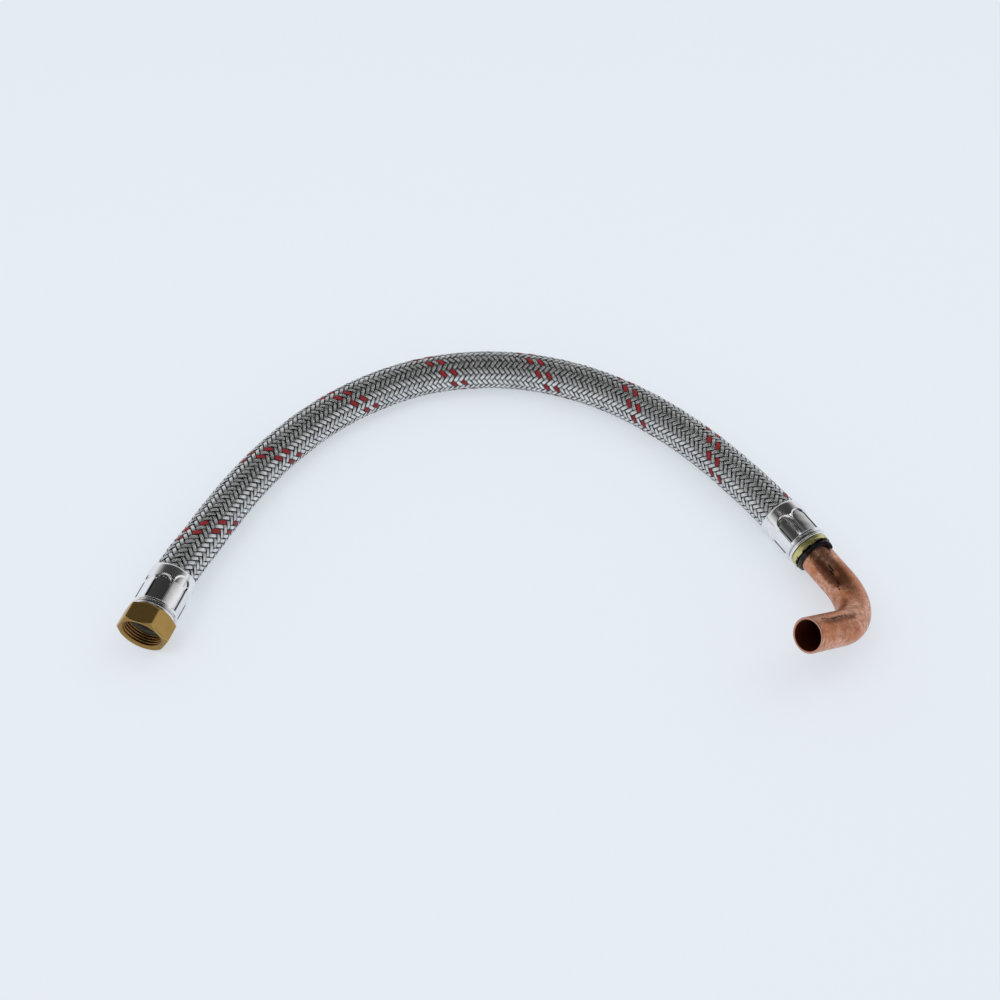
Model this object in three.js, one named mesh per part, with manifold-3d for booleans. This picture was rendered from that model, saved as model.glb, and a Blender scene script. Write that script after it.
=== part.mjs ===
// A braided connecting hose for water: union nut at one end, bent copper tube at the other.
// Millimetres, +Z up. The hose lies on its side in an arc and rests on its nut, its two ferrules and the arc.
import * as THREE from "three";
import { mergeVertices } from "three/addons/utils/BufferGeometryUtils.js";
import Module from "manifold-3d";

const wasm = await Module();
wasm.setup();

// Clearance between pieces that touch on the real hose.
const gap = 0.3;

// The route of the free hose, from the mouth of the nut's ferrule to the mouth of the elbow's ferrule.
const route = [
  [-204.5, -82.3, 15.2],
  [-201.1, -71.1, 15],
  [-194.8, -55.3, 14.6],
  [-185.4, -30.5, 14],
  [-174.7, -6.2, 13.6],
  [-162, 17.5, 13.45],
  [-147, 39.7, 13.45],
  [-129.7, 60.3, 13.45],
  [-110.2, 78.3, 13.45],
  [-88.6, 93.4, 13.45],
  [-65.2, 105.2, 13.45],
  [-40.2, 112.9, 13.45],
  [-14.3, 116.7, 13.45],
  [11.8, 116.3, 13.45],
  [37.8, 111.8, 13.45],
  [63, 103.4, 13.45],
  [86.8, 91.5, 13.45],
  [109.1, 76.7, 13.45],
  [129.5, 59.4, 13.75],
  [148.1, 40.3, 14.3],
  [165.1, 20.5, 14.8],
  [181.8, -1.1, 15.06],
].map(([x, y, z]) => new THREE.Vector3(x, y, z));

// Which way each fitting points, away from the hose: compass heading and rise, in degrees.
const nutHeading = 256.5;
const nutRise = 1;
const elbowHeading = -57.5;
const elbowRise = 1.5;

// The hollow stem that the rubber is crimped onto, the same at both ends.
const stem = {
  radius: 9.2,
  wall: 2,
  barbs: 3,
  barbPitch: 6.6,
  barbDepth: 0.5,
  barbFall: 0.7,
  shortOfMouth: 3.7,
};
const stemBore = stem.radius - stem.wall;
const stemHole = stem.radius + gap;

// Hose: rubber tube inside, wire braid outside. Both are squeezed where a ferrule is crimped on.
const hose = {
  slack: 0.4,
  rubberWall: 2.5,
  braidWall: 1,
  squeeze: 1.25,
  braidThinning: 0.3,
  step: 22,
};
const rubberInner = stem.radius + hose.slack;
const rubberOuter = rubberInner + hose.rubberWall;
const braidInner = rubberOuter + gap;
const braidOuter = braidInner + hose.braidWall;

// Ferrule: a drawn steel sleeve with a lip at its outer end, eight crimped flats and a round shoulder at its mouth.
const ferrule = {
  length: 31.1,
  wall: 1.4,
  shoulderStart: 12.1,
  taper: 1.9,
  shoulderDrop: 0.5,
  flatDepth: 0.95,
  flats: 8,
  flatStart: 4.9,
  flatEnd: 22.8,
  lip: 2,
  shoulderSlope: 1.8,
  mouthRound: 0.9,
  flare: 0.2,
  rimDrop: 0.65,
  rimLength: 2.3,
  rimBevel: 0.35,
  grooveDepth: 0.7,
  grooveSide: 0.6,
  edgeRound: 0.75,
};
const ferruleBore = braidOuter + gap;
const shoulderRadius = ferruleBore + ferrule.wall;
const ridgeRadius = shoulderRadius - ferrule.shoulderDrop;
const flatRadius = ridgeRadius - ferrule.flatDepth;
const rimRadius = ridgeRadius - ferrule.rimDrop;

// How far each ferrule's flats are turned from the top, in degrees.
const nutFlatsRoll = -3.5;
const elbowFlatsRoll = -10.5;

const nut = {
  acrossFlats: 30,
  length: 14.4,
  threadBore: 12.06,
  countersink: 14.2,
  countersinkDepth: 1.6,
  frontRadius: 14.8,
  frontChamfer: 2.1,
  backRadius: 14.8,
  backChamfer: 1.8,
  backWall: 2.2,
};

// The tail's flange and the washer both fit inside the nut's thread.
const flangeRadius = nut.threadBore - gap;
const tailFlange = { thickness: 1.2 };
const washer = { thickness: 1.5, setBack: 1.2 };
const washerBore = stemBore + washer.setBack;

// Copper outlet: straight, one bend, straight.
const copper = {
  radius: 11,
  wall: 1.5,
  straight: 27.6,
  bendRadius: 34.2,
  bendAngle: 90,
  roll: 24.5,
  outlet: 31.2,
};

// Elbow end: the insert's collar has a socket for the copper tube, and a bead of braze closes the joint.
const socket = copper.radius + gap;
const collar = { wall: 2.2, length: 4.5, socketDepth: 2.2, chamfer: 0.5 };
const collarRadius = socket + collar.wall;
const bead = { drop: 0.4, length: 2.9 };
const beadRadius = collarRadius - bead.drop;

const steel = { color: "#c9ccd1", roughness: 0.25, metalness: 1 };
const finishes = {
  brass: { color: "#a08245", roughness: 0.4, metalness: 1 },
  steel,
  braid: { ...steel, color: "#a7abb0", roughness: 0.35 },
  copper: { color: "#c27f5c", roughness: 0.4, metalness: 1 },
  paleBrass: { color: "#c9bd6c", roughness: 0.35, metalness: 1 },
  scorched: { color: "#1c1517", roughness: 0.3, metalness: 0.2 },
  rubber: { color: "#24272b", roughness: 0.8, metalness: 0 },
  fibre: { color: "#7c8778", roughness: 0.85, metalness: 0 },
};

function piece(name, geometry, finish) {
  const mesh = new THREE.Mesh(geometry, new THREE.MeshStandardMaterial(finishes[finish]));
  mesh.name = name;
  return mesh;
}

// Only positions are kept, and the winding is turned over where it encloses a negative volume.
function closed(geometry) {
  const bare = geometry.clone();
  bare.deleteAttribute("normal");
  bare.deleteAttribute("uv");
  const merged = mergeVertices(bare, 1e-4);
  const at = merged.getAttribute("position");
  const kept = [];
  for (let i = 0; i < merged.index.count; i += 3) {
    const [a, b, c] = [0, 1, 2].map((k) => merged.index.getX(i + k));
    if (a !== b && b !== c && c !== a) kept.push(a, b, c);
  }
  let volume = 0;
  const [p, q, r] = [new THREE.Vector3(), new THREE.Vector3(), new THREE.Vector3()];
  for (let i = 0; i < kept.length; i += 3) {
    p.fromBufferAttribute(at, kept[i]);
    q.fromBufferAttribute(at, kept[i + 1]);
    r.fromBufferAttribute(at, kept[i + 2]);
    volume += p.dot(q.cross(r));
  }
  if (volume < 0) {
    for (let i = 0; i < kept.length; i += 3) [kept[i], kept[i + 1]] = [kept[i + 1], kept[i]];
  }
  merged.setIndex(kept);
  return merged;
}

function toSolid(geometry) {
  const shape = closed(geometry);
  return new wasm.Manifold(
    new wasm.Mesh({
      numProp: 3,
      vertProperties: Float32Array.from(shape.getAttribute("position").array),
      triVerts: Uint32Array.from(shape.index.array),
    }),
  );
}

function fromSolid(solid) {
  const mesh = solid.getMesh();
  const geometry = new THREE.BufferGeometry();
  geometry.setAttribute("position", new THREE.BufferAttribute(Float32Array.from(mesh.vertProperties), 3));
  geometry.setIndex(new THREE.BufferAttribute(Uint32Array.from(mesh.triVerts), 1));
  geometry.computeVertexNormals();
  return geometry;
}

// A ring or disc about +Z from [along, radius] corners. A profile that leaves the axis closes on itself.
function turned(corners, sides) {
  const points = corners.map(([along, radius]) => new THREE.Vector2(radius, along));
  if (corners[0][1] > 0 || corners.at(-1)[1] > 0) points.push(points[0].clone());
  const lathe = new THREE.LatheGeometry(points, sides);
  lathe.rotateX(Math.PI / 2);
  return closed(lathe);
}

// Side and up vectors of a path that stays near the horizontal.
function frameAt(curve, distance, length) {
  const u = THREE.MathUtils.clamp(distance / length, 0, 1);
  const tangent = curve.getTangentAt(u);
  const side = new THREE.Vector3(0, 0, 1).cross(tangent).normalize();
  const up = tangent.clone().cross(side);
  return { point: curve.getPointAt(u), side, up };
}

// Lays a turned tube, drawn about +Z, along a curve: z becomes the distance along it.
function laidAlong(geometry, curve) {
  const length = curve.getLength();
  const at = geometry.getAttribute("position");
  const corner = new THREE.Vector3();
  for (let i = 0; i < at.count; i++) {
    corner.fromBufferAttribute(at, i);
    const { point, side, up } = frameAt(curve, corner.z, length);
    point.addScaledVector(side, corner.x).addScaledVector(up, corner.y);
    at.setXYZ(i, point.x, point.y, point.z);
  }
  at.needsUpdate = true;
  return closed(geometry);
}

function headingVector(heading, rise) {
  const [h, r] = [heading, rise].map(THREE.MathUtils.degToRad);
  return new THREE.Vector3(Math.cos(h) * Math.cos(r), Math.sin(h) * Math.cos(r), Math.sin(r));
}

// A group whose +Z points away from the hose and whose +Y points up, with its origin at a ferrule's mouth.
function fittingFrame(mouth, heading, rise) {
  const out = headingVector(heading, rise);
  const side = new THREE.Vector3(0, 0, 1).cross(out).normalize();
  const up = out.clone().cross(side);
  const group = new THREE.Group();
  group.quaternion.setFromRotationMatrix(new THREE.Matrix4().makeBasis(side, up, out));
  group.position.copy(mouth);
  return group;
}

// The hose runs straight inside each ferrule, up to its lip.
const buried = ferrule.length - ferrule.lip - gap;

function hoseCurve() {
  const nutWay = headingVector(nutHeading, nutRise);
  const elbowWay = headingVector(elbowHeading, elbowRise);
  const inside = [1, 2 / 3, 1 / 3].map((share) => share * buried);
  const first = inside.map((d) => route[0].clone().addScaledVector(nutWay, d));
  const last = inside.reverse().map((d) => route.at(-1).clone().addScaledVector(elbowWay, d));
  const curve = new THREE.CatmullRomCurve3([...first, ...route, ...last]);
  curve.arcLengthDivisions = 3000;
  return curve;
}

// The length over which the hose narrows into a crimp.
const squeezeRun = 3.6;

// Distances along the hose at which its section is drawn, with how far it is squeezed there.
function stations(length) {
  const grip = ferrule.length - ferrule.flatEnd + gap / 2;
  const release = grip - squeezeRun;
  const list = [[0, 1], [buried - grip, 1], [buried - release, 0]];
  const free = length - 2 * buried;
  const count = Math.round(free / hose.step);
  for (let i = 0; i <= count; i++) list.push([buried + (free * i) / count, 0]);
  list.push([length - buried + release, 0], [length - buried + grip, 1], [length, 1]);
  return list;
}

function hoseTube(curve, outer, inner, squeezeOuter, squeezeInner, sides) {
  const along = stations(curve.getLength());
  const outside = along.map(([s, k]) => [s, outer - k * squeezeOuter]);
  const inside = along.map(([s, k]) => [s, inner - k * squeezeInner]).reverse();
  return laidAlong(turned([...outside, ...inside], sides), curve);
}

// Ferrule along +Z: its mouth at 0, its lip at its length.
function ferruleShape(roll) {
  const f = ferrule;
  const end = f.length;
  const crimped = end - f.flatEnd;
  const squeezed = ferruleBore - hose.squeeze;
  const rimStart = end - f.rimLength;
  const blank = turned(
    [
      [0, ferruleBore + f.flare],
      [0, shoulderRadius - f.mouthRound],
      [f.taper, shoulderRadius],
      [f.shoulderStart - f.shoulderSlope, shoulderRadius],
      [f.shoulderStart, ridgeRadius],
      [rimStart - 2 * f.grooveSide, ridgeRadius],
      [rimStart - f.grooveSide, rimRadius - f.grooveDepth],
      [rimStart, rimRadius - f.grooveDepth],
      [rimStart + f.rimBevel, rimRadius],
      [end - f.edgeRound, rimRadius],
      [end, rimRadius - f.edgeRound],
      [end, stemHole],
      [end - f.lip, stemHole],
      [end - f.lip, squeezed],
      [crimped, squeezed],
      [crimped - squeezeRun + gap, ferruleBore],
      [f.flare, ferruleBore],
    ],
    40,
  );
  // Each crimped flat is a round-ended plate's print: straight sides, and an arch at its end towards the hose.
  const half = Math.sqrt(ridgeRadius ** 2 - flatRadius ** 2);
  const print = new THREE.Shape();
  const top = end - f.flatStart;
  print.moveTo(-half, top);
  print.lineTo(-half, crimped + half);
  print.absarc(0, crimped + half, half, Math.PI, 2 * Math.PI, false);
  print.lineTo(half, top);
  print.closePath();
  let solid = toSolid(blank);
  for (let i = 0; i < f.flats; i++) {
    const plate = new THREE.ExtrudeGeometry(print, { depth: 3 * f.flatDepth, bevelEnabled: false, curveSegments: 6 });
    plate.rotateX(Math.PI / 2);
    plate.translate(0, -flatRadius, 0);
    plate.rotateZ((i * 2 * Math.PI) / f.flats + THREE.MathUtils.degToRad(roll));
    solid = solid.subtract(toSolid(plate));
  }
  return fromSolid(solid);
}

// The barbed outside of a stem, from its tip inside the hose to where its head begins.
function barbProfile(tip, head) {
  const corners = [];
  for (let i = 0; i < stem.barbs; i++) {
    const start = tip + i * stem.barbPitch;
    corners.push([start, stem.radius - stem.barbDepth], [start + stem.barbPitch - stem.barbFall, stem.radius]);
    corners.push([start + stem.barbPitch, stem.radius - stem.barbDepth]);
  }
  const last = tip + stem.barbs * stem.barbPitch;
  corners.push([last + stem.barbFall, stem.radius], [head, stem.radius]);
  return corners;
}

const nutBack = ferrule.length + gap;
const nutFront = nutBack + nut.length;
const nutSeat = nutBack + nut.backWall;
const flangeBack = nutSeat + gap;
const flangeFront = flangeBack + tailFlange.thickness;
const washerBack = flangeFront + gap;
const washerFront = washerBack + washer.thickness;

function nutShape() {
  const hexagon = new THREE.Shape();
  const corner = nut.acrossFlats / Math.sqrt(3);
  for (let i = 0; i < 6; i++) {
    const turn = (i * Math.PI) / 3;
    if (i === 0) hexagon.moveTo(corner, 0);
    else hexagon.lineTo(corner * Math.cos(turn), corner * Math.sin(turn));
  }
  hexagon.closePath();
  const bar = new THREE.ExtrudeGeometry(hexagon, { depth: nut.length, bevelEnabled: false });
  bar.translate(0, 0, nutBack);
  const wide = corner + 1;
  const frontSlope = nut.frontChamfer / (corner - nut.frontRadius);
  const backSlope = nut.backChamfer / (corner - nut.backRadius);
  const chamfers = turned(
    [
      [nutBack, 0],
      [nutBack, nut.backRadius],
      [nutBack + backSlope * (wide - nut.backRadius), wide],
      [nutFront - frontSlope * (wide - nut.frontRadius), wide],
      [nutFront, nut.frontRadius],
      [nutFront, 0],
    ],
    48,
  );
  const bore = turned(
    [
      [nutBack - 1, 0],
      [nutBack - 1, stemHole],
      [nutSeat, stemHole],
      [nutSeat, nut.threadBore],
      [nutFront - nut.countersinkDepth, nut.threadBore],
      [nutFront, nut.countersink],
      [nutFront + 1, nut.countersink],
      [nutFront + 1, 0],
    ],
    48,
  );
  return fromSolid(toSolid(bar).intersect(toSolid(chamfers)).subtract(toSolid(bore)));
}

function tailShape() {
  return turned(
    [
      ...barbProfile(stem.shortOfMouth, flangeBack),
      [flangeBack, flangeRadius],
      [flangeFront, flangeRadius],
      [flangeFront, stemBore],
      [stem.shortOfMouth, stemBore],
    ],
    24,
  );
}

function washerShape() {
  return turned(
    [
      [washerBack, washerBore],
      [washerBack, flangeRadius],
      [washerFront, flangeRadius],
      [washerFront, washerBore],
    ],
    32,
  );
}

const collarBack = ferrule.length + gap;
const collarFront = collarBack + collar.length;
const socketFloor = collarFront - collar.socketDepth;
const copperStart = socketFloor + gap;
const beadBack = collarFront + gap;

function insertShape() {
  return turned(
    [
      ...barbProfile(stem.shortOfMouth, collarBack),
      [collarBack, collarRadius - collar.chamfer],
      [collarBack + collar.chamfer, collarRadius],
      [collarFront - collar.chamfer, collarRadius],
      [collarFront, collarRadius - collar.chamfer],
      [collarFront, socket],
      [socketFloor, socket],
      [socketFloor, stemBore],
      [stem.shortOfMouth, stemBore],
    ],
    28,
  );
}

function beadShape() {
  const corners = [];
  const steps = 6;
  for (let i = 0; i <= steps; i++) {
    const turn = (Math.PI * i) / steps;
    const out = beadBack + (bead.length * (1 - Math.cos(turn))) / 2;
    corners.push([out, socket + (beadRadius - socket) * Math.sin(turn)]);
  }
  return turned(corners, 32);
}

// The copper tube: straight out of the socket, round one bend, straight to its open end.
function copperShape() {
  const roll = THREE.MathUtils.degToRad(copper.roll);
  const turn = THREE.MathUtils.degToRad(copper.bendAngle);
  const out = new THREE.Vector3(0, 0, 1);
  const inward = new THREE.Vector3(-Math.cos(roll), Math.sin(roll), 0);
  const across = out.clone().cross(inward);
  const bendStart = copperStart + copper.straight;
  const arc = copper.bendRadius * turn;
  const length = copper.straight + arc + copper.outlet;
  const along = [0, copper.straight];
  const bendSteps = 12;
  for (let i = 1; i <= bendSteps; i++) along.push(copper.straight + (arc * i) / bendSteps);
  along.push(length);
  const outside = along.map((s) => [s, copper.radius]);
  const inside = along.map((s) => [s, copper.radius - copper.wall]).reverse();
  const tube = turned([...outside, ...inside], 24);
  const at = tube.getAttribute("position");
  const corner = new THREE.Vector3();
  for (let i = 0; i < at.count; i++) {
    corner.fromBufferAttribute(at, i);
    const bent = THREE.MathUtils.clamp((corner.z - copper.straight) / copper.bendRadius, 0, turn);
    const before = Math.min(corner.z, copper.straight) + copperStart;
    const after = Math.max(corner.z - copper.straight - arc, 0);
    const tangent = out.clone().multiplyScalar(Math.cos(bent)).addScaledVector(inward, Math.sin(bent));
    const normal = inward.clone().multiplyScalar(Math.cos(bent)).addScaledVector(out, -Math.sin(bent));
    const point = out.clone().multiplyScalar(Math.min(before, bendStart));
    point.addScaledVector(out, copper.bendRadius * Math.sin(bent));
    point.addScaledVector(inward, copper.bendRadius * (1 - Math.cos(bent)));
    point.addScaledVector(tangent, after);
    point.addScaledVector(normal, corner.x).addScaledVector(across, corner.y);
    at.setXYZ(i, point.x, point.y, point.z);
  }
  return closed(tube);
}

const curve = hoseCurve();
const squeezeInside = hose.squeeze - hose.braidThinning;
const rubber = hoseTube(curve, rubberOuter, rubberInner, squeezeInside, 0, 12);
const braid = hoseTube(curve, braidOuter, braidInner, hose.squeeze, squeezeInside, 20);

const nutEnd = fittingFrame(route[0], nutHeading, nutRise);
nutEnd.add(
  piece("union_nut", nutShape(), "brass"),
  piece("sealing_washer", washerShape(), "fibre"),
  piece("nut_end_tail", tailShape(), "steel"),
  piece("nut_end_ferrule", ferruleShape(nutFlatsRoll), "steel"),
);

const elbowEnd = fittingFrame(route.at(-1), elbowHeading, elbowRise);
elbowEnd.add(
  piece("elbow_end_ferrule", ferruleShape(elbowFlatsRoll), "steel"),
  piece("elbow_end_insert", insertShape(), "paleBrass"),
  piece("braze_bead", beadShape(), "scorched"),
  piece("copper_elbow", copperShape(), "copper"),
);

const flexibleHose = new THREE.Group();
flexibleHose.name = "flexible_hose";
flexibleHose.add(piece("rubber_hose", rubber, "rubber"), piece("wire_braid", braid, "braid"), nutEnd, elbowEnd);

export default flexibleHose;
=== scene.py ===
import math
import random

import bpy
import numpy as np
from mathutils import Matrix, Vector


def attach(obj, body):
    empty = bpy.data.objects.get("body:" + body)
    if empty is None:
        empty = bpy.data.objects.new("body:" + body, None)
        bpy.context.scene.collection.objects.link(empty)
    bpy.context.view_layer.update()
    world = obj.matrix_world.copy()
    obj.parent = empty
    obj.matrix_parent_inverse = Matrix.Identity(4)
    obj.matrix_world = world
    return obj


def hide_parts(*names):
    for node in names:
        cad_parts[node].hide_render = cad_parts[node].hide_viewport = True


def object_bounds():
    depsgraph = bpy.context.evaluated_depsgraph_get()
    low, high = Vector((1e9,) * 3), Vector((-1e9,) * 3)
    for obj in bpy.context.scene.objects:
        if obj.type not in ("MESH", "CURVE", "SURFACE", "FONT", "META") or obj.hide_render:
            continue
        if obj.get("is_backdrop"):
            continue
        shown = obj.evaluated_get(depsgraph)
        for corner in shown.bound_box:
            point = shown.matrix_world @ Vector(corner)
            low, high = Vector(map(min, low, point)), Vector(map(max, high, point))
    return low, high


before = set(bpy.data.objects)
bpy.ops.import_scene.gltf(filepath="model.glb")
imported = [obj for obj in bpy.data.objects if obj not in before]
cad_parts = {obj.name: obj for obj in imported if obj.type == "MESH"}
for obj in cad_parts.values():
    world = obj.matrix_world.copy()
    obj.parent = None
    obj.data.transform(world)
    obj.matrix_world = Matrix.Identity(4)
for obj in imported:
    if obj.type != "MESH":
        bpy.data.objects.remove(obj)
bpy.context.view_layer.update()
random.seed(7)
mm = 0.001


# Shader maths, written as expressions on sockets.
class Signal:
    def __init__(self, finish, socket):
        self.finish = finish
        self.socket = socket

    def maths(self, operation, other, swapped=False):
        both = (other, self) if swapped else (self, other)
        wide = any(isinstance(s, Signal) and s.socket.type in ("VECTOR", "RGBA") for s in both)
        if wide:
            both = tuple((s,) * 3 if isinstance(s, (int, float)) else s for s in both)
        kind = "ShaderNodeVectorMath" if wide else "ShaderNodeMath"
        return self.finish.node(kind, {"operation": operation}, {0: both[0], 1: both[1]})

    def __add__(self, other):
        return self.maths("ADD", other)

    def __radd__(self, other):
        return self.maths("ADD", other, True)

    def __sub__(self, other):
        return self.maths("SUBTRACT", other)

    def __rsub__(self, other):
        return self.maths("SUBTRACT", other, True)

    def __mul__(self, other):
        return self.maths("MULTIPLY", other)

    def __rmul__(self, other):
        return self.maths("MULTIPLY", other, True)


# A node tree that is being filled: a material's, or the world's.
class Finish:
    def __init__(self, owner):
        owner.use_nodes = True
        self.owner = owner
        self.tree = owner.node_tree
        self.tree.nodes.clear()

    def node(self, kind, settings=None, sockets=None, out=0):
        made = self.tree.nodes.new(kind)
        for key, value in (settings or {}).items():
            if key == "stops":
                ramp = made.color_ramp.elements
                while len(ramp) < len(value):
                    ramp.new(0.5)
                for stop, (at, colour) in zip(ramp, value):
                    stop.position = at
                    stop.color = (*colour, 1) if isinstance(colour, tuple) else (colour, colour, colour, 1)
            else:
                setattr(made, key, value)
        for key, value in (sockets or {}).items():
            socket = made.inputs[key]
            if isinstance(value, Signal):
                self.tree.links.new(value.socket, socket)
            elif socket.type == "RGBA" and len(value) == 3:
                socket.default_value = (*value, 1)
            else:
                socket.default_value = value
        return Signal(self, made.outputs[out]) if len(made.outputs) else made

    def mark(self, name):  # a number stored on a piece's points
        return self.node("ShaderNodeAttribute", {"attribute_name": name}, out="Fac")

    def noise(self, scale, detail=3.0, roughness=0.5, where=None, out="Fac"):
        where = where or self.node("ShaderNodeTexCoord", out="Object")
        sockets = {"Vector": where, "Scale": scale, "Detail": detail, "Roughness": roughness}
        return self.node("ShaderNodeTexNoise", {}, sockets, out)

    def ramp(self, value, low, high):  # 0 below low, 1 above high
        return self.node("ShaderNodeMapRange", {"interpolation_type": "SMOOTHSTEP"},
                         {"Value": value, "From Min": low, "From Max": high})

    def blend(self, amount, first, second, how="MIX"):
        settings = {"data_type": "RGBA", "blend_type": how}
        return self.node("ShaderNodeMix", settings, {0: amount, 6: first, 7: second}, 2)

    def bump(self, height, depth, normal=None):
        sockets = {"Height": height, "Strength": 1.0, "Distance": depth}
        if normal:
            sockets["Normal"] = normal
        return self.node("ShaderNodeBump", {}, sockets)

    def surface(self, **sockets):
        named = {key.replace("_", " "): value for key, value in sockets.items()}
        shader = self.node("ShaderNodeBsdfPrincipled", {}, named)
        self.node("ShaderNodeOutputMaterial", {}, {"Surface": shader})
        return self.owner


def newFinish(name):
    return Finish(bpy.data.materials.new(name))


# Camera, at the photograph's viewing angle.
camera = {
    "place": (-0.00444, -0.51597, 0.66933),
    "tilt": 51.95,       # degrees it looks down
    "roll": 3.84,
    "lens": 45,
    "sensor": 36,
}


def makeCamera(c):
    tilt = math.radians(c["tilt"])
    roll = math.radians(c["roll"])
    level = Vector((1, 0, 0))
    upright = Vector((0, math.sin(tilt), math.cos(tilt)))
    back = Vector((0, -math.cos(tilt), math.sin(tilt)))
    right = level * math.cos(roll) + upright * math.sin(roll)
    up = upright * math.cos(roll) - level * math.sin(roll)
    data = bpy.data.cameras.new("camera")
    data.lens = c["lens"]
    data.sensor_width = c["sensor"]
    eye = bpy.data.objects.new("camera", data)
    turn = Matrix((right, up, back)).transposed().to_4x4()
    eye.matrix_world = Matrix.Translation(c["place"]) @ turn
    bpy.context.collection.objects.link(eye)
    bpy.context.scene.camera = eye


makeCamera(camera)
print("camera made")


# The hose's own numbers, in millimetres, as the solids have them.
hose = {
    "route": [
        (-204.5, -82.3, 15.2), (-201.1, -71.1, 15), (-194.8, -55.3, 14.6), (-185.4, -30.5, 14),
        (-174.7, -6.2, 13.6), (-162, 17.5, 13.45), (-147, 39.7, 13.45), (-129.7, 60.3, 13.45),
        (-110.2, 78.3, 13.45), (-88.6, 93.4, 13.45), (-65.2, 105.2, 13.45), (-40.2, 112.9, 13.45),
        (-14.3, 116.7, 13.45), (11.8, 116.3, 13.45), (37.8, 111.8, 13.45), (63, 103.4, 13.45),
        (86.8, 91.5, 13.45), (109.1, 76.7, 13.45), (129.5, 59.4, 13.75), (148.1, 40.3, 14.3),
        (165.1, 20.5, 14.8), (181.8, -1.1, 15.06),
    ],
    "nutHeading": 256.5,
    "nutRise": 1,
    "elbowHeading": -57.5,
    "elbowRise": 1.5,
    "buried": 28.8,      # how far the hose goes on inside a ferrule
    "diameter": 26.8,
    "tubeRadius": 12.1,
    "tubeWall": 2.5,
    "tubeStep": 1.8,
    "tubeColumns": 48,
    "shown": 5.2,        # how far inside a ferrule's mouth the braid is still drawn
    "pathPoints": 91,    # points of the centre line that describe it
}


def heading(turn, rise):
    t, r = math.radians(turn), math.radians(rise)
    return np.array([math.cos(t) * math.cos(r), math.sin(t) * math.cos(r), math.sin(r)])


# One dense smooth line through points, with each knot spaced by the square root of the distance.
def smoothLine(points, perSpan=40):
    points = [np.array(p, float) for p in points]
    points = [2 * points[0] - points[1], *points, 2 * points[-1] - points[-2]]
    line = []
    for p0, p1, p2, p3 in zip(points, points[1:], points[2:], points[3:]):
        k1 = math.sqrt(np.linalg.norm(p1 - p0))
        k2 = k1 + math.sqrt(np.linalg.norm(p2 - p1))
        k3 = k2 + math.sqrt(np.linalg.norm(p3 - p2))
        for t in np.linspace(k1, k2, perSpan, endpoint=False):
            a1 = (p0 * (k1 - t) + p1 * t) / k1
            a2 = (p1 * (k2 - t) + p2 * (t - k1)) / (k2 - k1)
            a3 = (p2 * (k3 - t) + p3 * (t - k2)) / (k3 - k2)
            b1 = (a1 * (k2 - t) + a2 * t) / k2
            b2 = (a2 * (k3 - t) + a3 * (t - k1)) / (k3 - k1)
            line.append((b1 * (k2 - t) + b2 * (t - k1)) / (k2 - k1))
    line.append(points[-2])
    return np.array(line)


# The hose's centre line. Distances along it count from the mouth of the nut's ferrule.
class HoseLine:
    def __init__(self, h):
        nutWay = heading(h["nutHeading"], h["nutRise"])
        elbowWay = heading(h["elbowHeading"], h["elbowRise"])
        first = [np.array(h["route"][0]) + nutWay * h["buried"] * k / 3 for k in (3, 2, 1)]
        last = [np.array(h["route"][-1]) + elbowWay * h["buried"] * k / 3 for k in (1, 2, 3)]
        self.points = smoothLine([*first, *h["route"], *last])
        steps = np.linalg.norm(np.diff(self.points, axis=0), axis=1)
        self.at = np.concatenate([[0], np.cumsum(steps)]) - h["buried"]
        self.length = self.at[-1] - h["buried"]
        tangents = np.gradient(self.points, self.at, axis=0)
        tangents /= np.linalg.norm(tangents, axis=1)[:, None]
        inner = np.cross(tangents, [0, 0, 1])
        self.inner = inner / np.linalg.norm(inner, axis=1)[:, None]
        self.up = np.cross(self.inner, tangents)

    def read(self, table, along):
        return np.stack([np.interp(along, self.at, table[:, k]) for k in range(3)], axis=-1)

    def place(self, along, angle, radius):  # angle in radians, from the top towards the arc's inside
        around = self.read(self.up, along) * np.cos(angle)[..., None]
        around += self.read(self.inner, along) * np.sin(angle)[..., None]
        return (self.read(self.points, along) + around * radius[..., None]) * mm


line = HoseLine(hose)


# A mesh object from its points and faces, with numbers stored on the points for its finish.
def makePiece(name, body, slot, replaced, finish, corners, faces, marks):
    mesh = bpy.data.meshes.new(name)
    mesh.from_pydata(corners.tolist(), [], faces)
    mesh.polygons.foreach_set("use_smooth", [True] * len(mesh.polygons))
    for key, values in marks.items():
        mesh.attributes.new(key, "FLOAT", "POINT").data.foreach_set("value", np.ravel(values))
    mesh.materials.append(finish)
    piece = bpy.data.objects.new(name, mesh)
    bpy.context.collection.objects.link(piece)
    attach(piece, body)
    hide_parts(replaced)
    print(name, len(faces), "faces")
    return piece


# Faces of a grid of points: rows by columns, each way open or closed on itself.
def gridFaces(rows, columns, closedRows, closedColumns, first=0):
    faces = []
    for i in range(rows if closedRows else rows - 1):
        here = first + i * columns
        after = first + (i + 1) % rows * columns
        for j in range(columns if closedColumns else columns - 1):
            k = (j + 1) % columns
            faces.append((here + j, here + k, after + k, after + j))
    return faces


def fullTurn(columns):
    return np.linspace(0, 2 * math.pi, columns, endpoint=False)


# The angle from one turn to others, the short way round.
def turnFrom(start, turns):
    return (turns - start + math.pi) % (2 * math.pi) - math.pi


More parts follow.
